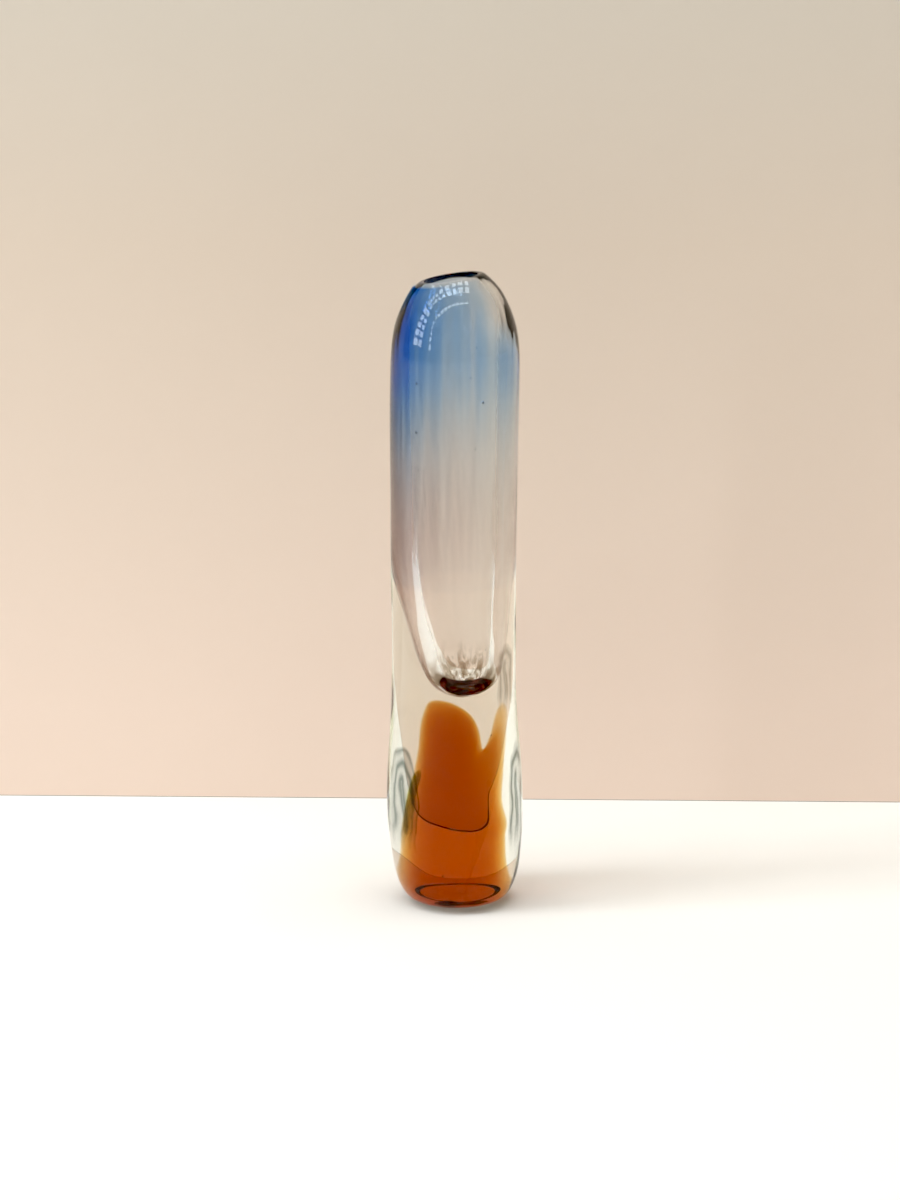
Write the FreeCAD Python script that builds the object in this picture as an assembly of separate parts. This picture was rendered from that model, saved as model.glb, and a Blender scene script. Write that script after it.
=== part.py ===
import FreeCAD, Part
import math
import os

# Hand blown cased glass vase: a tall rounded clear body with a thin blue layer round its bubble
# and an amber mass sealed in its solid base.
# Frame: millimetres, origin at the centre of the foot's underside, +Z up, +X to the right of the
# side on which the amber tongue stands, -Y towards the viewer.

# ---- driving dimensions of the outer form: height, radius, sideways drift of the centre ----
# The drift is the lean of a hand-blown body, measured from the centre of its belly.
FOOT_RADIUS = 13.4
BELLY_RADIUS = 26.8
WAIST_RADIUS = 24.3
SHOULDER_RADIUS = 24.95
OUTER_STATIONS = [
    (0.0, FOOT_RADIUS, 0.7),
    (0.6, 16.2, 0.7),
    (1.7, 18.6, 0.7),
    (3.4, 20.4, 0.7),
    (9.0, 23.4, 0.7),
    (20.0, 25.5, 0.5),
    (31.0, 26.5, 0.2),
    (44.0, BELLY_RADIUS, 0.0),
    (57.0, 26.2, -0.1),
    (76.0, 24.8, -0.3),
    (99.0, WAIST_RADIUS, -0.4),
    (135.0, 24.4, -0.5),
    (176.0, 24.75, -0.4),
    (214.0, SHOULDER_RADIUS, 0.0),
    (225.5, 24.15, 0.15),
    (232.0, 22.6, 0.2),
    (238.0, 20.1, 0.35),
    (242.2, 17.7, 0.55),
    (245.7, 14.7, 0.8),
    (248.6, 11.4, 1.0),
    (251.5, 7.2, 1.1),
]
FOOT_EDGE_ROUND = 0.4

# ---- mouth: a slanted cut through the dome, fire polished ----
MOUTH_HEIGHT = 248.3
MOUTH_TILT_DEG = 8.5
MOUTH_OUTER_ROUND = 0.7
MOUTH_INNER_ROUND = 0.3

# ---- cavity blown inside: height, radius, sideways drift; its narrow floor leans to +X ----
CAVITY_FLOOR = 84.3
BORE_RADIUS = 16.1
BORE_START = 147.0
SHOULDER_BORE_RADIUS = 17.7
MOUTH_BORE_RADIUS = 9.6
CAVITY_STATIONS = [
    (CAVITY_FLOOR, 1.4, 2.6),
    (84.9, 3.2, 2.6),
    (86.6, 5.8, 2.5),
    (89.6, 8.1, 2.4),
    (93.2, 9.5, 2.3),
    (99.0, 10.7, 1.9),
    (107.0, 11.9, 1.4),
    (114.0, 12.8, 0.9),
    (121.0, 13.6, 0.5),
    (129.0, 14.6, 0.1),
    (137.0, 15.5, -0.2),
    (BORE_START, BORE_RADIUS, -0.4),
    (165.0, 16.2, -0.5),
    (180.0, 16.4, -0.4),
    (195.0, 16.7, -0.4),
    (208.0, 17.1, -0.3),
    (218.0, 17.5, -0.2),
    (226.0, SHOULDER_BORE_RADIUS, -0.1),
    (232.0, 17.4, 0.0),
    (237.0, 16.2, 0.0),
    (241.0, 14.3, -0.1),
    (244.0, 12.2, -0.4),
    (246.0, 10.6, -0.7),
    (248.0, MOUTH_BORE_RADIUS, -0.9),
    (256.0, 9.3, -1.0),
]

# ---- layers wrapped round the cavity ----
LINING_WALL = 1.5
LINING_RIM_WALL = 0.5
BLUE_WALL = 0.9
BLUE_RIM_WALL = 0.3
BLUE_FEATHER_WALL = 0.2
BLUE_LOW_EDGE = 150.0
BLUE_FULL_HEIGHT = 205.0
RIM_THINNING_START = 225.0

# ---- ground and polished pontil hollow under the foot ----
PONTIL_RADIUS = 6.0
PONTIL_DEPTH = 0.3
PONTIL_DRIFT = 0.7

# ---- amber core: height, centre x, half width, half depth ----
# The core stays about as deep as it was gathered, while it narrows into the tongue.
AMBER_RADIUS = 12.4
AMBER_STATIONS = [
    (2.0, 0.0, 11.0, 11.2),
    (6.0, -0.1, 12.2, AMBER_RADIUS),
    (18.0, -0.2, 12.3, AMBER_RADIUS),
    (30.0, -0.3, 12.1, 12.3),
    (38.0, -0.5, 11.2, 12.2),
    (46.0, -0.6, 9.8, 12.1),
    (54.0, -0.9, 8.5, 12.0),
    (62.0, -1.1, 7.5, 11.8),
    (70.0, -1.4, 6.8, 11.2),
    (75.0, -1.9, 5.8, 10.0),
    (79.0, -2.9, 4.2, 7.6),
    (82.0, -4.5, 1.5, 3.0),
]
HORN_STATIONS = [
    (32.0, 6.6, 4.4, 7.8),
    (38.0, 6.9, 4.8, 8.5),
    (44.0, 7.2, 4.5, 8.5),
    (50.0, 7.6, 4.1, 8.5),
    (56.0, 8.2, 3.6, 8.5),
    (61.0, 9.45, 2.45, 8.1),
    (66.0, 10.7, 1.35, 7.5),
    (71.0, 11.5, 0.85, 6.7),
    (76.0, 12.1, 0.6, 5.2),
    (81.5, 12.7, 0.25, 1.6),
]

# ---- crease that parts the side fold from the core ----
CREASE_LOW_X = 5.7
CREASE_LOW_Z = 23.5
CREASE_HIGH_X = 11.2
CREASE_HIGH_Z = 57.5

# ---- olive trail on the left flank of the core: height, centre x, half width, half depth ----
TRAIL_STATIONS = [
    (28.0, -13.0, 0.5, 1.0),
    (33.0, -12.7, 0.9, 1.8),
    (38.0, -12.2, 0.8, 2.4),
    (44.0, -11.2, 1.1, 3.2),
    (49.0, -10.3, 1.2, 3.0),
    (54.0, -9.4, 0.6, 1.2),
]

# ---- dark olive line round the foot of the amber, a little higher at the back ----
FOOT_LINE_RADIUS = 12.2
FOOT_LINE_TUBE = 0.35
FOOT_LINE_HEIGHT = 5.3
FOOT_LINE_TILT_DEG = 1.4

# ---- side of the blocks that trim the layers, well past the vase ----
REACH = 400.0
RIM_SEARCH_DEPTH = 6.0


def circle_wire(height, radius, drift):
    """A level circle of the given radius, its centre moved sideways by the drift."""
    centre = FreeCAD.Vector(drift, 0, height)
    return Part.Wire([Part.makeCircle(radius, centre)])


def ellipse_wire(height, centre_x, half_width, half_depth):
    """A level oval, centred at centre_x; a Part.Ellipse needs its longer half first."""
    centre = FreeCAD.Vector(centre_x, 0, height)
    along_x = FreeCAD.Vector(centre_x + half_width, 0, height)
    along_y = FreeCAD.Vector(centre_x, half_depth, height)
    if half_width >= half_depth:
        oval = Part.Ellipse(along_x, along_y, centre)
    else:
        along_minus_x = FreeCAD.Vector(centre_x - half_width, 0, height)
        oval = Part.Ellipse(along_y, along_minus_x, centre)
    return Part.Wire([oval.toShape()])


def loft(wires):
    return Part.makeLoft(wires, True, False)


def above_mouth():
    """The block of space above the slanted mouth plane, low on the -X side."""
    block = Part.makeBox(REACH, REACH, REACH, FreeCAD.Vector(-REACH / 2, -REACH / 2, 0))
    block.rotate(FreeCAD.Vector(0, 0, 0), FreeCAD.Vector(0, 1, 0), -MOUTH_TILT_DEG)
    block.translate(FreeCAD.Vector(0, 0, MOUTH_HEIGHT))
    return block


def rim_share(height):
    """0 below the shoulder, rising to 1 at the mouth."""
    share = (height - RIM_THINNING_START) / (MOUTH_HEIGHT - RIM_THINNING_START)
    return min(1.0, max(0.0, share))


def lining_wall(height):
    return LINING_WALL + (LINING_RIM_WALL - LINING_WALL) * rim_share(height)


def blue_wall(height):
    """The blue layer thins downwards to its feather edge, and a little towards the mouth."""
    rise = (height - BLUE_LOW_EDGE) / (BLUE_FULL_HEIGHT - BLUE_LOW_EDGE)
    rise = min(1.0, max(0.0, rise))
    full = BLUE_WALL + (BLUE_RIM_WALL - BLUE_WALL) * rim_share(height)
    return BLUE_FEATHER_WALL + (full - BLUE_FEATHER_WALL) * rise


def floor_share(height, radius):
    """1 at the cavity's floor, falling to 0 where its wall stands upright."""
    if height >= BORE_START:
        return 0.0
    return 1.0 - radius / BORE_RADIUS


def bubble(wall):
    """The cavity's form grown outwards by a wall, given as a function of height."""
    wires = []
    for height, radius, drift in CAVITY_STATIONS:
        grow = wall(height)
        sink = grow * floor_share(height, radius)
        wires.append(circle_wire(height - sink, radius + grow, drift))
    return loft(wires)


def no_wall(height):
    return 0.0


def blue_and_lining_wall(height):
    return lining_wall(height) + blue_wall(height)


def outer_form():
    """The whole outside, with the mouth cut, the foot edge rounded and the pontil ground hollow."""
    body = loft([circle_wire(*station) for station in OUTER_STATIONS])
    body = body.cut(above_mouth())
    foot_edges = [e for e in body.Edges if e.BoundBox.ZMax < 0.01]
    body = body.makeFillet(FOOT_EDGE_ROUND, foot_edges)
    ball_radius = (PONTIL_RADIUS ** 2 + PONTIL_DEPTH ** 2) / (2 * PONTIL_DEPTH)
    ball_centre = FreeCAD.Vector(PONTIL_DRIFT, 0, PONTIL_DEPTH - ball_radius)
    return body.cut(Part.makeSphere(ball_radius, ball_centre))


def edge_at_mouth(shape, inner):
    """The mouth's outer or inner edge: the longest or the shortest closed edge near the rim."""
    rims = [e for e in shape.Edges if e.isClosed() and e.BoundBox.ZMin > MOUTH_HEIGHT - RIM_SEARCH_DEPTH]
    rims.sort(key=lambda e: e.Length)
    return rims[0] if inner else rims[-1]


def clear_inner_lining():
    lining = bubble(lining_wall).cut(bubble(no_wall)).cut(above_mouth())
    return lining.makeFillet(MOUTH_INNER_ROUND, [edge_at_mouth(lining, True)])


def blue_colour_layer():
    layer = bubble(blue_and_lining_wall).cut(bubble(lining_wall)).cut(above_mouth())
    below = Part.makeBox(REACH, REACH, BLUE_LOW_EDGE, FreeCAD.Vector(-REACH / 2, -REACH / 2, 0))
    return layer.cut(below)


def amber_mass():
    core = loft([ellipse_wire(*station) for station in AMBER_STATIONS])
    horn = loft([ellipse_wire(*station) for station in HORN_STATIONS])
    return core.fuse(horn)


def right_of_crease():
    """The block of space on the +X side of the slanted crease plane."""
    lean = math.degrees(math.atan2(CREASE_HIGH_X - CREASE_LOW_X, CREASE_HIGH_Z - CREASE_LOW_Z))
    block = Part.makeBox(REACH, REACH, REACH, FreeCAD.Vector(0, -REACH / 2, -REACH / 2))
    block.rotate(FreeCAD.Vector(0, 0, 0), FreeCAD.Vector(0, 1, 0), lean)
    block.translate(FreeCAD.Vector(CREASE_LOW_X, 0, CREASE_LOW_Z))
    return block


def amber_core(mass):
    return mass.cut(right_of_crease())


def amber_side_fold(mass):
    return mass.common(right_of_crease())


def olive_edge_trail(mass):
    return loft([ellipse_wire(*station) for station in TRAIL_STATIONS]).cut(mass)


def olive_foot_line():
    """The thin dark ring set half into the side of the amber, near its foot."""
    line = Part.makeTorus(FOOT_LINE_RADIUS, FOOT_LINE_TUBE)
    line.rotate(FreeCAD.Vector(0, 0, 0), FreeCAD.Vector(1, 0, 0), FOOT_LINE_TILT_DEG)
    line.translate(FreeCAD.Vector(0, 0, FOOT_LINE_HEIGHT))
    return line


def clear_outer_casing(inner_parts):
    casing = outer_form().cut(bubble(lining_wall))
    for part in inner_parts:
        casing = casing.cut(part)
    return casing.makeFillet(MOUTH_OUTER_ROUND, [edge_at_mouth(casing, False)])


def single_solid(shape):
    """The largest solid of a shape, without the splinters that a cut can leave."""
    return max(shape.Solids, key=lambda s: s.Volume)


def main():
    os.makedirs("parts", exist_ok=True)
    line = olive_foot_line()
    mass = amber_mass().cut(line)
    nodes = {
        "clear_inner_lining": single_solid(clear_inner_lining()),
        "blue_colour_layer": single_solid(blue_colour_layer()),
        "amber_core": single_solid(amber_core(mass)),
        "amber_side_fold": single_solid(amber_side_fold(mass)),
        "olive_edge_trail": single_solid(olive_edge_trail(mass)),
        "olive_foot_line": single_solid(line),
    }
    sealed = [nodes["blue_colour_layer"], mass, nodes["olive_edge_trail"], line]
    nodes["clear_outer_casing"] = single_solid(clear_outer_casing(sealed))
    for name, solid in nodes.items():
        solid.exportStep("parts/" + name + ".step")
        box = solid.optimalBoundingBox()
        print(name, "valid", solid.isValid(), "volume %.1f" % solid.Volume,
              "z %.2f to %.2f" % (box.ZMin, box.ZMax))


main()
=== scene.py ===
import math

import bmesh
import bpy
import numpy as np
from mathutils import Matrix, Vector


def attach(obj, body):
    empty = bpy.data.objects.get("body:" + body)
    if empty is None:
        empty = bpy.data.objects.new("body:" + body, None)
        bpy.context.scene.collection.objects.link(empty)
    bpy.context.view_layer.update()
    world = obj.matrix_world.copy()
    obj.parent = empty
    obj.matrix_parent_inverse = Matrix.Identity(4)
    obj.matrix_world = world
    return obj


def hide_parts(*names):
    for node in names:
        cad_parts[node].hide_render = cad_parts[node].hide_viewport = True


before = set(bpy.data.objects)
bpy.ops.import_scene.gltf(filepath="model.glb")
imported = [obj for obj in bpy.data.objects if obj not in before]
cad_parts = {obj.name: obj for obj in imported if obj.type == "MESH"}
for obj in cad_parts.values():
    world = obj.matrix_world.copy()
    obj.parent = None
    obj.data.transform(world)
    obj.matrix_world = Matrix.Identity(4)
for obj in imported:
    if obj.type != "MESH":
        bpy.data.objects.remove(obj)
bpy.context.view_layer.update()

BODY = "root"
MM = 0.001

# ---------------------------------------------------------------- sizes of the glass, millimetres
# rings round the axis have this many points; the inner layers have fewer
AROUND = 160
AROUND_LAYERS = 128
# points along a profile, and rings from its low end to the mouth
OUTSIDE_STEPS = 900
CAVITY_STEPS = 600
OUTSIDE_RINGS = 270
CAVITY_RINGS = 190
LINING_RINGS = 130
BLUE_RINGS = 150

# the mouth is a slanted cut through the dome
MOUTH_HEIGHT = 248.3
MOUTH_SLOPE = math.tan(math.radians(8.5))
# room left above the clear wall and the lining for their rounded lips, and how far the lips bulge
CLEAR_LIP_DROP = 0.7
CLEAR_LIP_PUSH = 0.85
LINING_LIP_DROP = 1.6
LINING_LIP_PUSH = 0.2
BLUE_RIM_DROP = 2.0
BORE_RADIUS = 16.1
BORE_START = 147.0
# height, radius and sideways drift of the centre, close to the stations in the part's own source

FOOT_AND_OUTSIDE = [
    (0.3, 0.0, 0.7),
    (0.2, 3.5, 0.7),
    (0.0, 6.0, 0.7),
    (0.0, 9.5, 0.7),
    (0.0, 12.5, 0.7),
    (0.5, 15.8, 0.7),
    (1.5, 18.3, 0.7),
    (3.2, 20.3, 0.7),
    (9.0, 23.4, 0.7),
    (20.0, 25.5, 0.5),
    (31.0, 26.5, 0.2),
    (44.0, 26.8, 0.0),
    (57.0, 26.2, -0.1),
    (76.0, 24.8, -0.3),
    (99.0, 24.3, -0.4),
    (135.0, 24.4, -0.5),
    (176.0, 24.75, -0.4),
    (214.0, 24.95, 0.0),
    (225.5, 24.15, 0.15),
    (232.0, 22.6, 0.2),
    (238.0, 20.1, 0.35),
    (242.2, 17.7, 0.55),
    (245.7, 14.7, 0.8),
    (248.6, 11.4, 1.0),
    (251.5, 7.2, 1.1),
]
# the same for the cavity, from its floor to the mouth
CAVITY = [
    (84.2, 0.0, 2.6),
    (84.9, 3.2, 2.6),
    (86.6, 5.8, 2.5),
    (89.6, 8.1, 2.4),
    (93.2, 9.5, 2.3),
    (99.0, 10.7, 1.9),
    (107.0, 11.9, 1.4),
    (114.0, 12.8, 0.9),
    (121.0, 13.6, 0.5),
    (129.0, 14.6, 0.1),
    (137.0, 15.5, -0.2),
    (BORE_START, BORE_RADIUS, -0.4),
    (165.0, 16.2, -0.5),
    (180.0, 16.4, -0.4),
    (195.0, 16.7, -0.4),
    (208.0, 17.1, -0.3),
    (218.0, 17.5, -0.2),
    (226.0, 17.7, -0.1),
    (232.0, 17.4, 0.0),
    (237.0, 16.3, 0.0),
    (241.0, 14.5, -0.1),
    (244.0, 12.5, -0.4),
    (246.0, 11.1, -0.7),
    (248.0, 10.1, -0.9),
    (256.0, 9.8, -1.0),
]

# soft streaks up a wall: seed, waves round the vase and size in millimetres (a share for the layers)
CAVITY_RIPPLE = (11, (9, 14, 23, 31), 0.05)
OUTSIDE_RIPPLE = (21, (5, 8, 13), 0.03)
LINING_RIPPLE = (31, (9, 17, 26, 38), 0.5)
BLUE_RIPPLE = (41, (7, 13, 22, 35), 0.5)
# slow unevenness: seed and size in millimetres
CAVITY_SWELL = (12, 0.18)
OUTSIDE_SWELL = (22, 0.16)
# it fades in over these radii of the cavity's floor, and these heights of the outside
CALM_RADIUS = 7.0
CALM_RADIUS_SPAN = 8.0
CALM_HEIGHT = 50.0
CALM_HEIGHT_SPAN = 40.0

# thickness of the lining at chosen heights; the left wall is thicker and the right wall thinner
LINING_HEIGHTS = [160.0, 180.0, 192.0, 206.0, 225.0, 250.0]
LINING_WALLS = [1.5, 1.15, 1.0, 0.65, 0.4, 0.35]
LINING_LEFT_GAIN = 0.75
# below the first height the lining is a thin film, above the second it has its full thickness
LINING_FILM = 0.35
LINING_FILM_TOP = 112.0
LINING_FULL_FROM = 150.0
LINING_LEAST = 0.15
# clear glass left between the cavity and the lining
SKIN = 0.06
RIM_THINNING_START = 225.0

# height of the blue layer's low edge, its distance from the lining, and its thickness at chosen heights
BLUE_LOW_EDGE = 128.0
BLUE_STANDOFF = 0.45
BLUE_LEAST = 0.012
BLUE_HEIGHTS = [128.0, 150.0, 165.0, 178.0, 190.0, 200.0, 208.0, 222.0, 232.0, 250.0]
BLUE_WALLS = [0.02, 0.05, 0.10, 0.18, 0.32, 0.50, 0.72, 0.92, 1.05, 0.95]
# the blue is deepest a little in front of the left side
BLUE_DEEP_ANGLE = math.radians(203)
BLUE_DEEP_WIDTH = math.radians(52)
BLUE_DEEP_GAIN = 1.9
# it is thin behind the right side, and almost bare there at the shoulder
BLUE_THIN_ANGLE = math.radians(15)
BLUE_THIN_WIDTH = math.radians(28)
BLUE_THIN_SHARE = 0.75
BLUE_BARE_ANGLE = math.radians(-10)
BLUE_BARE_WIDTH = math.radians(62)
BLUE_BARE_SHARE = 0.97
BLUE_BARE_FROM = 218.0
BLUE_BARE_FULL = 232.0

# amber: height, centre x, half width, half depth; its ovals are squarer than ellipses
AMBER_POWER = 3.4
AMBER_GRAIN = 0.45
AMBER_CORE = [
    (2.0, 0.0, 0.0, 0.0),
    (2.0, 0.0, 7.0, 7.0),
    (2.6, 0.0, 11.0, 11.0),
    (6.0, -0.1, 12.2, 12.4),
    (18.0, -0.2, 12.3, 12.4),
    (30.0, -0.3, 12.1, 12.3),
    (38.0, -0.5, 11.2, 12.2),
    (46.0, -0.6, 9.8, 12.1),
    (54.0, -0.9, 8.5, 12.0),
    (62.0, -1.1, 7.5, 11.8),
    (70.0, -1.4, 6.8, 11.2),
    (75.0, -1.9, 5.8, 10.0),
    (79.0, -2.9, 4.2, 7.6),
    (81.5, -4.1, 2.3, 4.4),
    (82.6, -4.9, 0.0, 0.0),
]
AMBER_HORN = [
    (20.0, 6.0, 0.0, 0.0),
    (26.0, 6.8, 4.8, 8.5),
    (38.0, 6.9, 4.8, 8.5),
    (50.0, 7.6, 4.1, 8.5),
    (56.0, 8.2, 3.6, 8.5),
    (60.0, 9.2, 2.7, 8.2),
    (64.0, 10.3, 1.7, 7.8),
    (68.0, 11.05, 1.05, 7.2),
    (72.0, 11.6, 0.75, 6.5),
    (78.0, 12.3, 0.5, 4.5),
    (82.0, 12.8, 0.0, 0.0),
]
# a dark olive tube round the amber's foot, a painted shadow standing in for the contact shadow at the
# base's edge seen through the glass; it is tilted up at the back and leans up to the right
FOOT_LINE_SEED = 31
FOOT_LINE_STEPS = 180
FOOT_LINE_AROUND = 14
FOOT_LINE_RADIUS = 12.2
FOOT_LINE_TUBE = 0.33
FOOT_LINE_HEIGHT = 5.3
FOOT_LINE_TILT = 0.3
FOOT_LINE_LEAN = 0.35
FOOT_LINE_WOBBLE = 0.03
FOOT_LINE_SWELL = 0.35
FOOT_LINE_SIDE_SWELL = 0.45
FOOT_LINE_WAVE = 0.25
# the olive streak at the amber's left edge: height, centre x, half width, half depth
OLIVE_TRAIL = [
    (27.5, -13.0, 0.0, 0.0),
    (28.5, -13.0, 0.45, 1.0),
    (33.0, -12.8, 0.8, 1.8),
    (38.0, -12.4, 0.7, 2.4),
    (44.0, -11.4, 0.9, 3.2),
    (49.0, -10.4, 1.0, 3.0),
    (53.0, -9.6, 0.6, 1.2),
    (54.0, -9.4, 0.0, 0.0),
]
# seed bubbles in the clear glass: x, y, z and radius
SEED_BUBBLES = [
    (-13.6, -16.2, 209.6, 0.5),
    (-13.8, -16.0, 190.6, 0.5),
    (10.0, -18.4, 202.6, 0.5),
    (7.8, -19.5, 223.7, 0.28),
    (5.6, -20.2, 212.4, 0.26),
    (-13.0, -16.0, 176.0, 0.25),
    (-4.2, -18.6, 15.0, 0.35),
    (12.6, -14.0, 70.5, 0.28),
    (-8.0, 19.0, 150.0, 0.35),
    (10.5, 17.5, 178.0, 0.30),
    (18.5, 9.0, 98.0, 0.40),
    (-17.5, 10.0, 74.0, 0.35),
]
# the lower body is a little flatter at the back: fully up to the first height, not at all from the second
BACK_FLATNESS = 0.8
BACK_FLAT_FROM = 40.0
BACK_FLAT_TO = 80.0
# the flatness and the fullness below start from nothing at the table and are whole at this height
HEEL_HEIGHT = 3.0
# and the back is turned a little there, so that its left and right halves slope differently
BACK_TWIST = 0.55
TWIST_WIDTH = math.radians(10)
TWIST_REACH = math.radians(38)
TWIST_HEIGHT = 24.0
TWIST_SPAN = 16.0
# the foot is fuller in front
FRONT_FULLNESS = 2.4
FRONT_HEIGHT = 5.0
FRONT_REACH = 8.0
# the plane between core and fold: one point of it (x, z), its lean in x per z, and the gap left there
CREASE_POINT = (5.7, 23.5)
CREASE_SLOPE = (11.2 - 5.7) / (57.5 - 23.5)
CREASE_GAP = 0.02

# ---------------------------------------------------------------- glass
# strength of the reflection off the glass
SHEEN = 0.7
WHITE = (1.0, 1.0, 1.0)
BUMP_DISTANCE = 0.0004
# index (of an inner glass: relative to the clear glass round it), absorption of red, green and blue
# per metre, the two ends of the streaky surface tint, streaks per metre along x, y and z, and bump
GLASS = {
    "clear_glass": (1.5, (2.4, 1.8, 3.2), WHITE, (0.97, 0.98, 0.97), (30, 30, 12), 0.15),
    "lining_glass": (1.006, (74.0, 100.0, 100.0), (0.975, 0.965, 0.96), WHITE, (160, 160, 6), 0.6),
    "blue_glass": (1.004, (500.0, 250.0, 24.0), (0.98, 0.99, 1.0), WHITE, (120, 120, 8), 0.3),
    "amber_glass": (1.0, (33.0, 110.0, 275.0), (0.97, 0.93, 0.88), WHITE, (70, 70, 25), 0.0),
    "olive_glass": (1.0, (210.0, 240.0, 900.0), (0.85, 0.88, 0.7), WHITE, (90, 90, 30), 0.5),
    # painted shadow: near-black glass for the foot line, standing in for the contact shadow at the base's
    # edge
    "foot_line_painted_shadow_glass": (1.0, (2600.0, 2900.0, 4200.0), (0.85, 0.88, 0.7), WHITE, (90, 90, 30), 0.5),
}
# grey-green arches in the clear glass: centre and reach in metres, rings within the reach, and colour
ARCHES = [
    ((-0.0203, -0.010, 0.0520), (0.0056, 0.010, 0.0140), 0.72, (0.07, 0.095, 0.09)),
    ((0.0240, -0.006, 0.052), (0.0028, 0.010, 0.0150), 0.6, (0.06, 0.075, 0.065)),
    ((0.0196, -0.010, 0.098), (0.0030, 0.010, 0.0090), 0.6, (0.30, 0.27, 0.23)),
]
# how far the arches' legs reach down, in heights of the arch, how much the arches wander, and how much
# of their colour stays between the rings
ARCH_LEG = -2.2
ARCH_WARP = 1.0
ARCH_FILL = 0.5
# where the arches fade out: at the outer ring, and from the front towards the axis, in reaches
ARCH_EDGE = (1.05, 0.9)
ARCH_DEPTH = (0.3, 0.0)
# the lining's smoke: heights where it starts and is full, in metres, and its colour
SMOKE_TOP = 0.104
SMOKE_FULL = 0.088
SMOKE_COLOUR = (0.42, 0.32, 0.22)
# its streaks per metre, their slant in radians, and the noise levels between which they show
SMOKE_SCALE = (260, 260, 110)
SMOKE_SLANT = (0.0, 0.6, 0.0)
SMOKE_STREAK = (0.40, 0.62)

# ---------------------------------------------------------------- camera and room, metres and degrees
CAMERA_DISTANCE = 1.5515
CAMERA_HEIGHT = 0.4743
CAMERA_SIDE = -0.0019
CAMERA_PITCH = 12.83
CAMERA_LENS = 122.3
WALL_DISTANCE = 0.1455
WALL_TURN = -1.65
WALL_HALF_WIDTH = 0.55
WALL_TALL = 0.9
# wall colours at chosen heights, paler near the table and darker higher up: painted shade standing in for
# the light falling off up the wall; above the last one the colour stays
WALL_COLOURS_WITH_PAINTED_SHADE = [
    (0.04, (0.93, 0.765, 0.655)),
    (0.24, (0.80, 0.68, 0.57)),
    (0.36, (0.72, 0.655, 0.57)),
]
# a dark strip at the foot of the wall, a painted shadow standing in for the shade in the gap between wall
# and table, and how far it stands before the wall
GAP_PAINTED_SHADOW_HEIGHT = 0.0002
GAP_PAINTED_SHADOW_STANDOFF = 0.0008
GAP_PAINTED_SHADOW_COLOUR = (0.12, 0.10, 0.085)
FLOOR_HALF_WIDTH = 3.0
FLOOR_HEIGHT = -0.00002
FLOOR_COLOUR = (0.93, 0.92, 0.88)
# the room's light: dark on the camera's side, warm on the wall's side, over this range of direction
ROOM_DARK = (0.12, 0.115, 0.10)
ROOM_WARM = (0.62, 0.53, 0.43)
ROOM_FROM = -0.9
ROOM_TO = 0.35
BLACK_LEVEL = 0.028
# glazing: rows of panes, each between two depths, along the roof and down the left side
WINDOW_COLOUR = (0.93, 0.97, 1.0)
WINDOW_STRENGTH = 9.2
WINDOW_ROOF = 2.2
WINDOW_LEFT = -2.6
WINDOW_PITCH = 0.36
WINDOW_BAR = 0.12
WINDOW_ROOF_PANES = 9
WINDOW_SIDE_PANES = 5
WINDOW_ROWS = [(-0.60, -0.24), (-0.14, 0.22), (-1.67, -1.44)]
WINDOW_TURN = math.radians(12)


# ---------------------------------------------------------------- curves
def spline(rows, steps, mirror_start=False):
    """A smooth curve through the rows, with steps + 1 even points along it.

    With mirror_start the curve is continued across the axis, so that it meets the axis squarely.
    """
    points = np.array(rows, dtype=float)
    skip = 0
    if mirror_start:
        before = points[:0:-1].copy()
        before[:, 1] = -before[:, 1]
        skip = len(before)
        points = np.vstack([before, points])
    span = np.linalg.norm(np.diff(points[:, :2], axis=0), axis=1)
    knots = np.concatenate([[0.0], np.cumsum(np.maximum(span, 1e-4))])
    size = len(knots)
    gaps = np.diff(knots)
    matrix = np.eye(size)
    right = np.zeros_like(points)
    for i in range(1, size - 1):
        matrix[i, i - 1:i + 2] = (gaps[i - 1], 2 * (gaps[i - 1] + gaps[i]), gaps[i])
        right[i] = 6 * ((points[i + 1] - points[i]) / gaps[i] - (points[i] - points[i - 1]) / gaps[i - 1])
    bend = np.linalg.solve(matrix, right)
    wanted = np.linspace(knots[skip], knots[-1], steps + 1)
    cell = np.clip(np.searchsorted(knots, wanted, side="right") - 1, 0, size - 2)
    gap = gaps[cell][:, None]
    after = (wanted - knots[cell])[:, None]
    left = gap - after
    return (
        bend[cell] * left ** 3 / (6 * gap)
        + bend[cell + 1] * after ** 3 / (6 * gap)
        + (points[cell] / gap - bend[cell] * gap / 6) * left
        + (points[cell + 1] / gap - bend[cell + 1] * gap / 6) * after
    )


def angles(count=AROUND):
    return np.arange(count) * (2 * math.pi / count)


def along(curve, places):
    """Rows of the curve at fractional places, one place per angle."""
    low = np.clip(np.floor(places).astype(int), 0, len(curve) - 2)
    share = (places - low)[:, None]
    return curve[low] * (1 - share) + curve[low + 1] * share


def rings(curve, turn, rings_wanted, start_height=None, drop=0.0):
    """Rings of points up the curve, each ending where the slanted mouth plane, lowered by drop, cuts it.

    Returns an array of rings, angles and (height, radius, drift).
    """
    first = 0.0
    if start_height is not None:
        first = float(np.interp(start_height, curve[:, 0], np.arange(len(curve))))
    reach = curve[:, 2][None, :] + curve[:, 1][None, :] * np.cos(turn)[:, None]
    plane = MOUTH_HEIGHT - drop + reach * MOUTH_SLOPE
    under = curve[:, 0][None, :] < plane
    last = np.argmin(under, axis=1)
    rows = np.arange(len(turn))
    gap_high = curve[last, 0] - plane[rows, last]
    gap_low = plane[rows, last - 1] - curve[last - 1, 0]
    end = last - 1 + gap_low / (gap_low + gap_high)
    shares = np.linspace(0.0, 1.0, rings_wanted)
    return np.array([along(curve, first + (end - first) * share) for share in shares])


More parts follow.
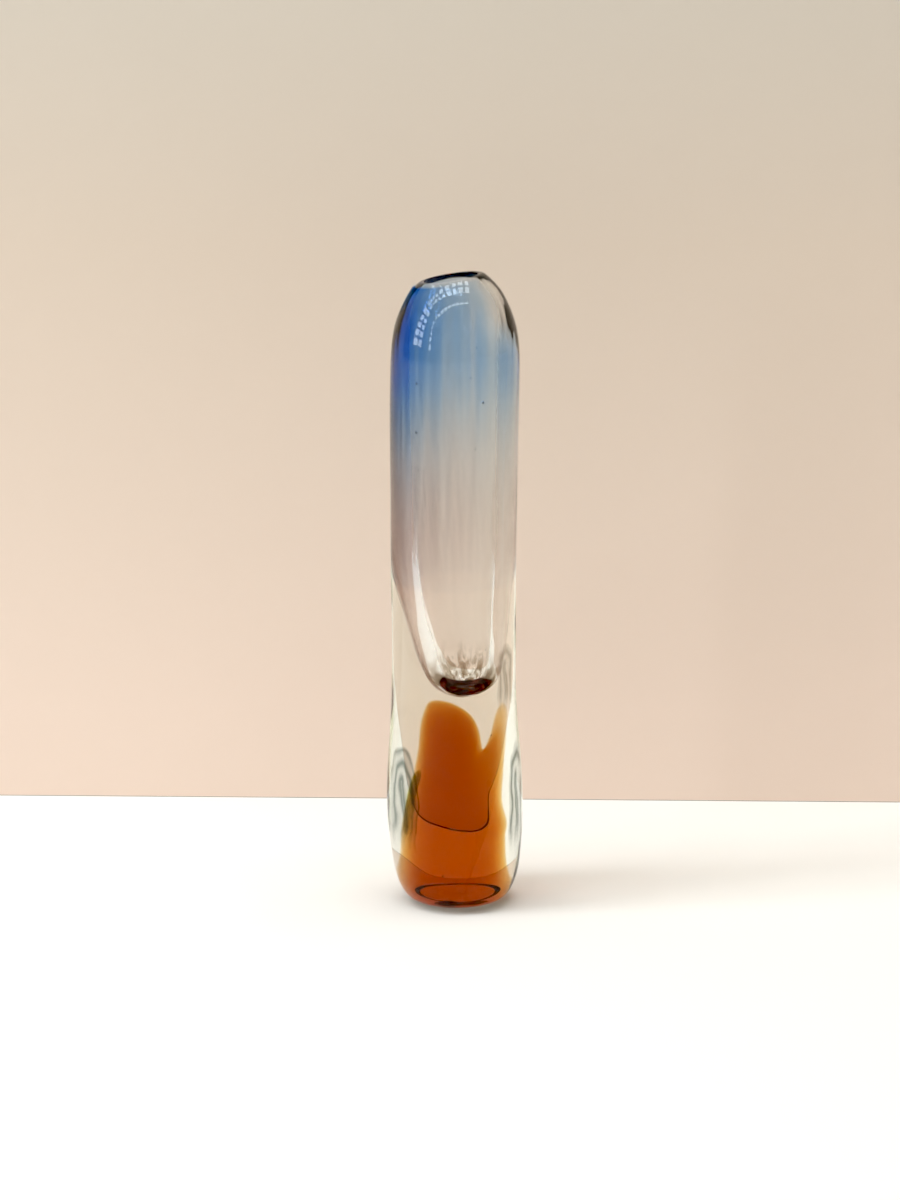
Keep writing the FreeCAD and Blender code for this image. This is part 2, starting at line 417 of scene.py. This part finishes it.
def to_points(rows, turn):
    """Turns (height, radius, drift) into x, y, z."""
    height, radius, drift = rows[..., 0], rows[..., 1], rows[..., 2]
    return np.stack([drift + radius * np.cos(turn), radius * np.sin(turn), height], axis=-1)


def lip(outer_rings, inner_rings, steps, push):
    """Rounded rings that carry the outer wall over into the inner wall."""
    start, end = outer_rings[-1], inner_rings[-1]
    start_way = outer_rings[-1] - outer_rings[-2]
    end_way = inner_rings[-1] - inner_rings[-2]
    start_way /= np.linalg.norm(start_way, axis=1, keepdims=True)
    end_way /= np.linalg.norm(end_way, axis=1, keepdims=True)
    first = start + start_way * push
    second = end + end_way * push
    made = []
    for t in np.linspace(0.0, 1.0, steps + 2)[1:-1]:
        s = 1 - t
        made.append(s ** 3 * start + 3 * s * s * t * first + 3 * s * t * t * second + t ** 3 * end)
    return np.array(made)


# ---------------------------------------------------------------- meshes
def mesh_of(name, ring_list, loop=False, start_pole=False, end_pole=False):
    """A closed mesh from rings of x, y, z in millimetres."""
    bm = bmesh.new()
    built = []
    for number, ring in enumerate(ring_list):
        pole = (number == 0 and start_pole) or (number == len(ring_list) - 1 and end_pole)
        if pole:
            built.append([bm.verts.new(Vector(ring.mean(axis=0)) * MM)])
        else:
            built.append([bm.verts.new(Vector(point) * MM) for point in ring])
    pairs = list(zip(built, built[1:]))
    if loop:
        pairs.append((built[-1], built[0]))
    for low, high in pairs:
        count = max(len(low), len(high))
        for i in range(count):
            j = (i + 1) % count
            if len(low) == 1:
                bm.faces.new((low[0], high[j], high[i]))
            elif len(high) == 1:
                bm.faces.new((low[i], low[j], high[0]))
            else:
                bm.faces.new((low[i], low[j], high[j], high[i]))
    bmesh.ops.recalc_face_normals(bm, faces=bm.faces)
    return object_of(name, bm)


def object_of(name, bm, smooth=True):
    """An object in the scene from a finished bmesh."""
    mesh = bpy.data.meshes.new(name)
    bm.to_mesh(mesh)
    bm.free()
    if smooth:
        mesh.shade_smooth()
    made = bpy.data.objects.new(name, mesh)
    bpy.context.scene.collection.objects.link(made)
    return made


def applied(piece):
    """The same piece with its modifiers made part of its mesh."""
    bpy.context.view_layer.update()
    graph = bpy.context.evaluated_depsgraph_get()
    mesh = bpy.data.meshes.new_from_object(piece.evaluated_get(graph))
    piece.modifiers.clear()
    piece.data = mesh
    piece.data.shade_smooth()
    return piece


# ---------------------------------------------------------------- hand-made unevenness
def ripple(turn, height, seed, counts, size):
    """A small change of radius that runs up the wall in soft streaks, in millimetres."""
    random = np.random.default_rng(seed)
    total = np.zeros(np.broadcast(turn, height).shape)
    for count in counts:
        phase, twist = random.uniform(0, 2 * math.pi), random.uniform(-0.004, 0.004)
        total += np.sin(count * turn + phase + twist * height * count)
    return total * size / len(counts)


def swell(turn, height, seed, size):
    """Slow unevenness of the blown wall over heights of a few centimetres."""
    random = np.random.default_rng(seed)
    total = np.zeros(np.broadcast(turn, height).shape)
    for count in (1, 2, 3):
        phase, rise = random.uniform(0, 2 * math.pi), random.uniform(0, 2 * math.pi)
        length = random.uniform(50.0, 110.0)
        total += np.sin(count * turn + phase) * np.sin(height * 2 * math.pi / length + rise)
    return total * size / 3


def bell(turn, angle, width):
    """One at the angle, falling off to nothing within about two widths on each side of it."""
    away = (turn - angle + math.pi) % (2 * math.pi) - math.pi
    return np.exp(-(away / width) ** 2)


def rim_share(height):
    share = (height - RIM_THINNING_START) / (MOUTH_HEIGHT - RIM_THINNING_START)
    return np.clip(share, 0.0, 1.0)


def lining_wall(height, turn):
    """The lining's thickness: thinner at the rim, and thicker on the left than on the right."""
    share = rim_share(height)
    level = np.interp(height, LINING_HEIGHTS, LINING_WALLS)
    climb = np.clip((height - LINING_FILM_TOP) / (LINING_FULL_FROM - LINING_FILM_TOP), 0.0, 1.0)
    level = LINING_FILM + (level - LINING_FILM) * climb * climb * (3 - 2 * climb)
    return level * (1 - LINING_LEFT_GAIN * (1 - share) * np.cos(turn))


def floor_calm(radius):
    """Nothing near the cavity's floor, where its rings are small, and one further up."""
    return np.clip((radius - CALM_RADIUS) / CALM_RADIUS_SPAN, 0.0, 1.0)


def grown(rows, extra):
    """Rings of the cavity moved outwards by extra, and downwards at the floor."""
    upright = np.where(rows[..., 0] >= BORE_START, 1.0, rows[..., 1] / BORE_RADIUS)
    moved = rows.copy()
    moved[..., 1] += extra * np.clip(upright * 3, 0.0, 1.0)
    moved[..., 0] -= extra * (1 - upright)
    return moved


def cavity_rings(turn, count, drop=0.0, start_height=None):
    """Rings of the cavity's wall, from its floor up to the mouth."""
    curve = spline(CAVITY, CAVITY_STEPS, mirror_start=True)
    rows = rings(curve, turn, count, start_height, drop)
    rows[..., 1] += floor_calm(rows[..., 1]) * (
        ripple(turn, rows[..., 0], *CAVITY_RIPPLE) + swell(turn, rows[..., 0], *CAVITY_SWELL)
    )
    return rows


def outside_rings(turn, count, drop=0.0):
    """Rings of the outside, from the middle of the foot up to the mouth."""
    curve = spline(FOOT_AND_OUTSIDE, OUTSIDE_STEPS, mirror_start=True)
    rows = rings(curve, turn, count, None, drop)
    height = rows[..., 0]
    calm = np.clip((height - CALM_HEIGHT) / CALM_HEIGHT_SPAN, 0.0, 1.0)
    rows[..., 1] += calm * (
        ripple(turn, height, *OUTSIDE_RIPPLE) + swell(turn, height, *OUTSIDE_SWELL)
    )
    back = np.clip(np.sin(turn), 0.0, 1.0) ** 2
    fall = np.clip((height - BACK_FLAT_FROM) / (BACK_FLAT_TO - BACK_FLAT_FROM), 0.0, 1.0)
    lift = np.clip(height / HEEL_HEIGHT, 0.0, 1.0)
    rows[..., 1] -= BACK_FLATNESS * back * lift * (1 - fall * fall * (3 - 2 * fall))
    front = np.clip(-np.sin(turn), 0.0, 1.0) ** 2
    rows[..., 1] += FRONT_FULLNESS * front * lift * np.exp(-((height - FRONT_HEIGHT) / FRONT_REACH) ** 2)
    side = np.tanh((math.pi / 2 - turn) / TWIST_WIDTH) * bell(turn, math.pi / 2, TWIST_REACH)
    climb = (height - TWIST_HEIGHT) / TWIST_SPAN
    rows[..., 1] += BACK_TWIST * side * climb * np.exp(-climb ** 2)
    return rows


# ---------------------------------------------------------------- the glass pieces
def make_clear_body():
    """The clear glass with its cavity: the outside, the fire-polished lip and the cavity's wall."""
    turn = angles()
    outer = to_points(outside_rings(turn, OUTSIDE_RINGS, drop=CLEAR_LIP_DROP), turn)
    inner = to_points(cavity_rings(turn, CAVITY_RINGS, drop=CLEAR_LIP_DROP), turn)
    over = lip(outer, inner, 9, CLEAR_LIP_PUSH)
    ring_list = list(outer) + list(over) + list(inner[::-1])
    return mesh_of("clear_glass_body", ring_list, start_pole=True, end_pole=True)


def add_bubbles(piece):
    """Seed bubbles: small round voids in the clear glass, so their faces look inwards."""
    bm = bmesh.new()
    bm.from_mesh(piece.data)
    for x, y, z, radius in SEED_BUBBLES:
        made = bmesh.ops.create_icosphere(
            bm, subdivisions=3, radius=radius * MM, matrix=Matrix.Translation(Vector((x, y, z)) * MM))
        faces = {face for vert in made["verts"] for face in vert.link_faces}
        bmesh.ops.reverse_faces(bm, faces=list(faces))
    bm.to_mesh(piece.data)
    bm.free()
    piece.data.shade_smooth()


def make_lining():
    """The first gather, a smoky skin of glass close round the cavity."""
    turn = angles(AROUND_LAYERS)
    rows = cavity_rings(turn, LINING_RINGS, drop=LINING_LIP_DROP)
    height = rows[..., 0]
    inner = to_points(grown(rows, SKIN), turn)
    wall = lining_wall(height, turn)
    streaks = ripple(turn, height, *LINING_RIPPLE)
    wall = wall * (1 + floor_calm(rows[..., 1]) * (1 - rim_share(height)) * streaks)
    outer = to_points(grown(rows, np.maximum(wall, LINING_LEAST)), turn)
    over = lip(outer, inner, 4, LINING_LIP_PUSH)
    ring_list = list(outer) + list(over) + list(inner[::-1])
    return mesh_of("clear_lining_skin", ring_list, start_pole=True, end_pole=True)


def blue_wall(height, turn):
    """The blue glass: deep on the left and in front of it, thin on the right, fading out downwards."""
    level = np.interp(height, BLUE_HEIGHTS, BLUE_WALLS)
    deep = 1 + BLUE_DEEP_GAIN * bell(turn, BLUE_DEEP_ANGLE, BLUE_DEEP_WIDTH)
    thin = 1 - BLUE_THIN_SHARE * bell(turn, BLUE_THIN_ANGLE, BLUE_THIN_WIDTH)
    high = np.clip((height - BLUE_BARE_FROM) / (BLUE_BARE_FULL - BLUE_BARE_FROM), 0.0, 1.0)
    bare = 1 - BLUE_BARE_SHARE * high * bell(turn, BLUE_BARE_ANGLE, BLUE_BARE_WIDTH)
    return level * deep * thin * bare


def make_blue_layer():
    """The blue glass round the lining, as a ring open at the top and the bottom."""
    turn = angles(AROUND_LAYERS)
    rows = cavity_rings(turn, BLUE_RINGS, BLUE_RIM_DROP, BLUE_LOW_EDGE)
    height = rows[..., 0]
    under = lining_wall(height, turn) + BLUE_STANDOFF
    wall = blue_wall(height, turn)
    streaks = 1 + ripple(turn, height, *BLUE_RIPPLE) * (1 - rim_share(height))
    inner = to_points(grown(rows, under), turn)
    outer = to_points(grown(rows, under + np.maximum(wall * streaks, BLUE_LEAST)), turn)
    ring_list = list(outer) + list(inner[::-1])
    return mesh_of("blue_layer", ring_list, loop=True)


def ovals(rows, count, steps, power=2.0):
    """Level ovals up a body given by height, centre, half width and half depth.

    A power above 2 makes the ovals squarer.
    """
    curve = spline([(r[0], r[2], r[1], r[3]) for r in rows], steps)
    turn = angles(count)
    made = []
    for height, half_width, centre, half_depth in curve:
        across, deep = np.cos(turn), np.sin(turn)
        x = centre + max(half_width, 0.0) * np.sign(across) * np.abs(across) ** (2 / power)
        y = max(half_depth, 0.0) * np.sign(deep) * np.abs(deep) ** (2 / power)
        made.append(np.stack([x, y, np.full(count, height)], axis=-1))
    return made


def make_amber_mass():
    """Core and horn melted into one smooth body."""
    core_rings = ovals(AMBER_CORE, 160, 110, AMBER_POWER)
    horn_rings = ovals(AMBER_HORN, 110, 70, AMBER_POWER)
    core = mesh_of("amber_mass", core_rings, start_pole=True, end_pole=True)
    horn = mesh_of("amber_horn", horn_rings, start_pole=True, end_pole=True)
    union = core.modifiers.new("union", "BOOLEAN")
    union.operation = "UNION"
    union.object = horn
    remesh = core.modifiers.new("melt", "REMESH")
    remesh.mode = "VOXEL"
    remesh.voxel_size = AMBER_GRAIN * MM
    smooth = core.modifiers.new("smooth", "SMOOTH")
    smooth.factor = 0.6
    smooth.iterations = 10
    applied(core)
    bpy.data.objects.remove(horn)
    return core


def cut_at_crease(mass, name, keep_right):
    """One side of the amber mass, closed where the crease plane cuts it."""
    bm = bmesh.new()
    bm.from_mesh(mass.data)
    normal = Vector((1.0, 0.0, -CREASE_SLOPE)).normalized()
    point = Vector((CREASE_POINT[0], 0.0, CREASE_POINT[1]))
    point += normal * (CREASE_GAP / 2 if keep_right else -CREASE_GAP / 2)
    cut = bmesh.ops.bisect_plane(
        bm, geom=bm.verts[:] + bm.edges[:] + bm.faces[:], plane_co=point * MM, plane_no=normal,
        clear_outer=not keep_right, clear_inner=keep_right,
    )
    edges = [e for e in cut["geom_cut"] if isinstance(e, bmesh.types.BMEdge)]
    bmesh.ops.holes_fill(bm, edges=edges)
    bmesh.ops.recalc_face_normals(bm, faces=bm.faces)
    return object_of(name, bm)


def make_olive_trail():
    return mesh_of("olive_trail", ovals(OLIVE_TRAIL, 40, 60), start_pole=True, end_pole=True)


def make_foot_shadow_line():
    """A dark olive tube round the amber's foot, a painted shadow for the contact shadow at the base's
    edge: an uneven tube on a slightly tilted ring.
    """
    waves = np.random.default_rng(FOOT_LINE_SEED).uniform(0.0, math.tau, 4)
    made = []
    for turn in angles(FOOT_LINE_STEPS):
        uneven = sum(math.sin(count * turn + wave) for count, wave in zip((2, 3, 5, 8), waves)) / 4
        reach = FOOT_LINE_RADIUS * (1 + FOOT_LINE_WOBBLE * uneven)
        tube = FOOT_LINE_TUBE * (1 + FOOT_LINE_SWELL * uneven + FOOT_LINE_SIDE_SWELL * math.cos(turn) ** 2)
        across = angles(FOOT_LINE_AROUND)
        out = reach + tube * np.cos(across)
        lean = FOOT_LINE_TILT * math.sin(turn) + FOOT_LINE_LEAN * math.cos(turn)
        up = FOOT_LINE_HEIGHT + lean + FOOT_LINE_WAVE * uneven + tube * np.sin(across)
        made.append(np.stack([out * math.cos(turn), out * math.sin(turn), up], axis=-1))
    return mesh_of("olive_foot_line", made, loop=True)


# ---------------------------------------------------------------- materials
def bare_material(name):
    """A material with nothing but its output."""
    made = bpy.data.materials.new(name)
    made.use_nodes = True
    made.node_tree.nodes.clear()
    output = made.node_tree.nodes.new("ShaderNodeOutputMaterial")
    return made, made.node_tree, output


def new_material(name):
    """A material with a principled shader on its output."""
    made, tree, output = bare_material(name)
    shader = tree.nodes.new("ShaderNodeBsdfPrincipled")
    tree.links.new(shader.outputs["BSDF"], output.inputs["Surface"])
    return made, tree, shader, output


def surface_colour(material):
    """The material's shader and the node output that colours it now."""
    nodes = material.node_tree.nodes
    shader = next(node for node in nodes if node.type == "BSDF_PRINCIPLED")
    return shader, shader.inputs["Base Color"].links[0].from_socket


def glass_material(name):
    """Glass whose colour deepens with depth, with a streaky faint tint and a soft bump on its surface."""
    ior, absorption, tint_low, tint_high, streak_scale, bump = GLASS[name]
    made, tree, shader, output = new_material(name)
    nodes, links = tree.nodes, tree.links
    shader.inputs["Transmission Weight"].default_value = 1.0
    shader.inputs["Roughness"].default_value = 0.0
    shader.inputs["IOR"].default_value = ior
    shader.inputs["Specular Tint"].default_value = (SHEEN, SHEEN, SHEEN, 1.0)
    place = nodes.new("ShaderNodeTexCoord")
    stretch = nodes.new("ShaderNodeMapping")
    stretch.inputs["Scale"].default_value = streak_scale
    links.new(place.outputs["Object"], stretch.inputs["Vector"])
    noise = nodes.new("ShaderNodeTexNoise")
    noise.inputs["Scale"].default_value = 1.0
    noise.inputs["Detail"].default_value = 3.0
    links.new(stretch.outputs["Vector"], noise.inputs["Vector"])
    tint = mixed(tree, noise.outputs["Fac"], tint_low, tint_high)
    links.new(tint, shader.inputs["Base Color"])
    if bump > 0:
        lift = nodes.new("ShaderNodeBump")
        lift.inputs["Strength"].default_value = bump
        lift.inputs["Distance"].default_value = BUMP_DISTANCE
        links.new(noise.outputs["Fac"], lift.inputs["Height"])
        links.new(lift.outputs["Normal"], shader.inputs["Normal"])
    density = max(absorption)
    volume = nodes.new("ShaderNodeVolumeAbsorption")
    volume.inputs["Color"].default_value = (*[1 - share / density for share in absorption], 1.0)
    volume.inputs["Density"].default_value = density
    links.new(volume.outputs["Volume"], output.inputs["Volume"])
    return made


def mixed(tree, factor, low, high):
    """A colour between low and high; either may be a colour or another node's output."""
    mix = tree.nodes.new("ShaderNodeMix")
    mix.data_type = "RGBA"
    tree.links.new(factor, mix.inputs["Factor"])
    for end, value in (("A", low), ("B", high)):
        if isinstance(value, tuple):
            mix.inputs[end].default_value = (*value, 1.0)
        else:
            tree.links.new(value, mix.inputs[end])
    return mix.outputs["Result"]


def swirled(material, centre, reach, ring_scale, dark):
    """Adds nested arches of grey-green glass to the clear glass, over a centre and out to a reach."""
    tree = material.node_tree
    nodes, links = tree.nodes, tree.links
    shader, before = surface_colour(material)
    place = nodes.new("ShaderNodeTexCoord")
    shift = nodes.new("ShaderNodeMapping")
    shift.vector_type = "TEXTURE"
    shift.inputs["Location"].default_value = centre
    shift.inputs["Scale"].default_value = reach
    links.new(place.outputs["Object"], shift.inputs["Vector"])
    split = nodes.new("ShaderNodeSeparateXYZ")
    links.new(shift.outputs["Vector"], split.inputs["Vector"])
    rise = nodes.new("ShaderNodeMath")
    rise.operation = "MAXIMUM"
    rise.inputs[1].default_value = 0.0
    links.new(split.outputs["Z"], rise.inputs[0])
    warp = nodes.new("ShaderNodeTexNoise")
    warp.inputs["Scale"].default_value = 0.9
    warp.inputs["Detail"].default_value = 1.0
    links.new(shift.outputs["Vector"], warp.inputs["Vector"])
    bend = nodes.new("ShaderNodeMath")
    bend.operation = "MULTIPLY_ADD"
    bend.inputs[1].default_value = ARCH_WARP
    links.new(warp.outputs["Fac"], bend.inputs[0])
    links.new(split.outputs["X"], bend.inputs[2])
    middle = nodes.new("ShaderNodeMath")
    middle.operation = "SUBTRACT"
    middle.inputs[1].default_value = ARCH_WARP / 2
    links.new(bend.outputs["Value"], middle.inputs[0])
    arch = nodes.new("ShaderNodeCombineXYZ")
    links.new(middle.outputs["Value"], arch.inputs["X"])
    links.new(rise.outputs["Value"], arch.inputs["Z"])
    length = nodes.new("ShaderNodeVectorMath")
    length.operation = "LENGTH"
    links.new(arch.outputs["Vector"], length.inputs[0])
    over = faded(tree, length.outputs["Value"], *ARCH_EDGE)
    above = faded(tree, split.outputs["Z"], ARCH_LEG, ARCH_LEG * 0.5)
    front = faded(tree, split.outputs["Y"], *ARCH_DEPTH)
    wave = nodes.new("ShaderNodeTexWave")
    wave.wave_type = "RINGS"
    wave.rings_direction = "SPHERICAL"
    wave.inputs["Scale"].default_value = ring_scale
    wave.inputs["Distortion"].default_value = 4.0
    wave.inputs["Detail"].default_value = 2.0
    wave.inputs["Detail Scale"].default_value = 0.6
    wave.inputs["Phase Offset"].default_value = 2.0
    links.new(arch.outputs["Vector"], wave.inputs["Vector"])
    cords = nodes.new("ShaderNodeMapRange")
    cords.inputs["To Min"].default_value = ARCH_FILL
    links.new(wave.outputs["Fac"], cords.inputs["Value"])
    mask = times(tree, times(tree, over, above), times(tree, front, cords.outputs["Result"]))
    links.new(mixed(tree, mask, before, dark), shader.inputs["Base Color"])


def faded(tree, value, none, full):
    """A smooth factor that is 0 where the value is none and 1 where it is full."""
    ramp = tree.nodes.new("ShaderNodeMapRange")
    ramp.interpolation_type = "SMOOTHSTEP"
    ramp.inputs["From Min"].default_value = none
    ramp.inputs["From Max"].default_value = full
    tree.links.new(value, ramp.inputs["Value"])
    return ramp.outputs["Result"]


def times(tree, first, second):
    """The product of two factors."""
    product = tree.nodes.new("ShaderNodeMath")
    product.operation = "MULTIPLY"
    tree.links.new(first, product.inputs[0])
    tree.links.new(second, product.inputs[1])
    return product.outputs["Value"]


def smoked_low(material, none, full, colour):
    """Adds brown smoke streaks to the lining: nothing at the height none, and full at the height full."""
    tree = material.node_tree
    nodes, links = tree.nodes, tree.links
    shader, before = surface_colour(material)
    place = nodes.new("ShaderNodeTexCoord")
    split = nodes.new("ShaderNodeSeparateXYZ")
    links.new(place.outputs["Object"], split.inputs["Vector"])
    low = faded(tree, split.outputs["Z"], none, full)
    stretch = nodes.new("ShaderNodeMapping")
    stretch.inputs["Scale"].default_value = SMOKE_SCALE
    stretch.inputs["Rotation"].default_value = SMOKE_SLANT
    links.new(place.outputs["Object"], stretch.inputs["Vector"])
    noise = nodes.new("ShaderNodeTexNoise")
    noise.inputs["Scale"].default_value = 1.0
    noise.inputs["Detail"].default_value = 4.0
    noise.inputs["Distortion"].default_value = 1.2
    links.new(stretch.outputs["Vector"], noise.inputs["Vector"])
    streak = faded(tree, noise.outputs["Fac"], *SMOKE_STREAK)
    links.new(mixed(tree, times(tree, low, streak), before, colour), shader.inputs["Base Color"])


def assign(piece, material):
    piece.data.materials.clear()
    piece.data.materials.append(material)


# ---------------------------------------------------------------- stage, light and camera
def flat_stage_piece(name, faces):
    """A staged mesh of flat faces, each a list of corners in metres."""
    bm = bmesh.new()
    for corners in faces:
        bm.faces.new([bm.verts.new(corner) for corner in corners])
    made = object_of(name, bm, smooth=False)
    return made


def upright(half_width, depth, tall):
    """The corners of an upright rectangle that stands on the table at a depth."""
    low = [(-half_width, depth, 0), (half_width, depth, 0)]
    high = [(half_width, depth, tall), (-half_width, depth, tall)]
    return low + high


def matt(name, colour, one_sided=False):
    """A matt surface; a one-sided one can be seen through from behind."""
    made, tree, shader, output = new_material(name)
    shader.inputs["Base Color"].default_value = (*colour, 1.0)
    shader.inputs["Roughness"].default_value = 0.9
    shader.inputs["Specular IOR Level"].default_value = 0.1
    if one_sided:
        nodes, links = tree.nodes, tree.links
        clear = nodes.new("ShaderNodeBsdfTransparent")
        side = nodes.new("ShaderNodeNewGeometry")
        mix = nodes.new("ShaderNodeMixShader")
        links.new(side.outputs["Backfacing"], mix.inputs["Fac"])
        links.new(shader.outputs["BSDF"], mix.inputs[1])
        links.new(clear.outputs["BSDF"], mix.inputs[2])
        links.new(mix.outputs["Shader"], output.inputs["Surface"])
    return made


def painted_shade_by_height(material, stops):
    """Gives a stage material a colour that changes slowly with height, from pairs of height and colour; on
    the wall this is painted shade, darker higher up.
    """
    tree = material.node_tree
    shader = next(node for node in tree.nodes if node.type == "BSDF_PRINCIPLED")
    place = tree.nodes.new("ShaderNodeTexCoord")
    split = tree.nodes.new("ShaderNodeSeparateXYZ")
    ramp = tree.nodes.new("ShaderNodeValToRGB")
    tree.links.new(place.outputs["Object"], split.inputs["Vector"])
    tree.links.new(split.outputs["Z"], ramp.inputs["Fac"])
    tree.links.new(ramp.outputs["Color"], shader.inputs["Base Color"])
    for number, (height, colour) in enumerate(stops):
        stop = ramp.color_ramp.elements[0] if number == 0 else ramp.color_ramp.elements.new(height)
        stop.position = height
        stop.color = (*colour, 1.0)
    ramp.color_ramp.elements.remove(ramp.color_ramp.elements[-1])


def glow(name, colour, strength):
    """A surface that gives light."""
    made, tree, output = bare_material(name)
    light = tree.nodes.new("ShaderNodeEmission")
    light.inputs["Color"].default_value = (*colour, 1.0)
    light.inputs["Strength"].default_value = strength
    tree.links.new(light.outputs["Emission"], output.inputs["Surface"])
    return made


def make_stage():
    """The white table, the beige wall with painted shade darkening it upwards, and a dark strip between
    wall and table that is a painted shadow of the gap.
    """
    signs = ((-1, -1), (1, -1), (1, 1), (-1, 1))
    corners = [(x * FLOOR_HALF_WIDTH, y * FLOOR_HALF_WIDTH, FLOOR_HEIGHT) for x, y in signs]
    floor = flat_stage_piece("floor", [corners])
    assign(floor, matt("floor_white", FLOOR_COLOUR))
    wall = flat_stage_piece("wall", [upright(WALL_HALF_WIDTH, 0, WALL_TALL)])
    beige = matt("wall_beige_painted_shade", WALL_COLOURS_WITH_PAINTED_SHADE[1][1], one_sided=True)
    # painted shade: the wall's colour darkens towards the top, standing in for the light falling off
    painted_shade_by_height(beige, WALL_COLOURS_WITH_PAINTED_SHADE)
    assign(wall, beige)
    # painted shadow: a dark strip standing in for the shade in the gap under the wall
    gap = flat_stage_piece("wall_gap", [upright(WALL_HALF_WIDTH, -GAP_PAINTED_SHADOW_STANDOFF, GAP_PAINTED_SHADOW_HEIGHT)])
    assign(gap, matt("wall_gap_painted_shadow", GAP_PAINTED_SHADOW_COLOUR, one_sided=True))
    for piece in (wall, gap):
        piece.location = (0, WALL_DISTANCE, 0)
        piece.rotation_euler = (0, 0, math.radians(WALL_TURN))


def make_windows():
    """Glazing overhead and down to the front left, in rows of small panes with bars between them."""
    panes = []
    for near, far in WINDOW_ROWS:
        for number in range(WINDOW_ROOF_PANES):
            start = WINDOW_LEFT + WINDOW_BAR + number * WINDOW_PITCH
            end = WINDOW_LEFT + (number + 1) * WINDOW_PITCH
            corners = [(start, near), (end, near), (end, far), (start, far)]
            panes.append([(x, y, WINDOW_ROOF) for x, y in corners])
        for number in range(WINDOW_SIDE_PANES):
            top = WINDOW_ROOF - number * WINDOW_PITCH - WINDOW_BAR
            low = WINDOW_ROOF - (number + 1) * WINDOW_PITCH
            corners = [(near, low), (near, top), (far, top), (far, low)]
            panes.append([(WINDOW_LEFT, y, z) for y, z in corners])
    made = flat_stage_piece("windows", panes)
    made.rotation_euler = (0, 0, WINDOW_TURN)
    made.visible_camera = False
    assign(made, glow("window_pane", WINDOW_COLOUR, WINDOW_STRENGTH))


def make_world():
    """The room's light, which gets warmer and brighter from the camera's side towards the wall's."""
    world = bpy.data.worlds.new("room")
    bpy.context.scene.world = world
    world.use_nodes = True
    nodes, links = world.node_tree.nodes, world.node_tree.links
    nodes.clear()
    output = nodes.new("ShaderNodeOutputWorld")
    background = nodes.new("ShaderNodeBackground")
    place = nodes.new("ShaderNodeTexCoord")
    split = nodes.new("ShaderNodeSeparateXYZ")
    ramp = nodes.new("ShaderNodeMapRange")
    mix = nodes.new("ShaderNodeMix")
    mix.data_type = "RGBA"
    ramp.inputs["From Min"].default_value = ROOM_FROM
    ramp.inputs["From Max"].default_value = ROOM_TO
    mix.inputs["A"].default_value = (*ROOM_DARK, 1.0)
    mix.inputs["B"].default_value = (*ROOM_WARM, 1.0)
    links.new(place.outputs["Generated"], split.inputs["Vector"])
    links.new(split.outputs["Y"], ramp.inputs["Value"])
    links.new(ramp.outputs["Result"], mix.inputs["Factor"])
    links.new(mix.outputs["Result"], background.inputs["Color"])
    links.new(background.outputs["Background"], output.inputs["Surface"])


def make_camera():
    data = bpy.data.cameras.new("camera")
    data.lens = CAMERA_LENS
    data.clip_start = 0.05
    made = bpy.data.objects.new("camera", data)
    made.location = (CAMERA_SIDE, -CAMERA_DISTANCE, CAMERA_HEIGHT)
    made.rotation_euler = (math.radians(90 - CAMERA_PITCH), 0, 0)
    bpy.context.scene.collection.objects.link(made)
    bpy.context.scene.camera = made


def set_light_paths():
    """Enough bounces for light to cross every layer of the glass, and plain colour handling."""
    cycles = bpy.context.scene.cycles
    cycles.max_bounces = 40
    cycles.transmission_bounces = 40
    cycles.glossy_bounces = 12
    cycles.diffuse_bounces = 4
    cycles.sample_clamp_indirect = 12.0
    settings = bpy.context.scene.view_settings
    settings.view_transform = "Standard"
    settings.use_curve_mapping = True
    settings.curve_mapping.black_level = (BLACK_LEVEL, BLACK_LEVEL, BLACK_LEVEL)


# ---------------------------------------------------------------- everything together
make_camera()
make_world()
make_stage()
make_windows()
set_light_paths()

body = make_clear_body()
add_bubbles(body)
clear = glass_material("clear_glass")
for centre, reach, ring_scale, colour in ARCHES:
    swirled(clear, centre, reach, ring_scale, colour)
assign(body, clear)
lining = make_lining()
smoky = glass_material("lining_glass")
smoked_low(smoky, SMOKE_TOP, SMOKE_FULL, SMOKE_COLOUR)
assign(lining, smoky)
blue = make_blue_layer()
assign(blue, glass_material("blue_glass"))
mass = make_amber_mass()
core = cut_at_crease(mass, "amber_tongue_core", False)
fold = cut_at_crease(mass, "amber_fold", True)
bpy.data.objects.remove(mass)
amber = glass_material("amber_glass")
assign(core, amber)
assign(fold, amber)
trail = make_olive_trail()
assign(trail, glass_material("olive_glass"))
# painted shadow: the dark foot line stands in for the contact shadow at the base's edge
line = make_foot_shadow_line()
assign(line, glass_material("foot_line_painted_shadow_glass"))

for piece, slot in (
    (body, "clear_glass"), (lining, "lining_glass"), (blue, "blue_glass"),
    (core, "amber_glass"), (fold, "amber_glass"), (trail, "olive_glass"), (line, "olive_glass"),
):
    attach(piece, BODY)
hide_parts("clear_outer_casing")
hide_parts("clear_inner_lining")
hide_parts("blue_colour_layer")
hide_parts("amber_core")
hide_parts("amber_side_fold")
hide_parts("olive_edge_trail")
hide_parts("olive_foot_line")
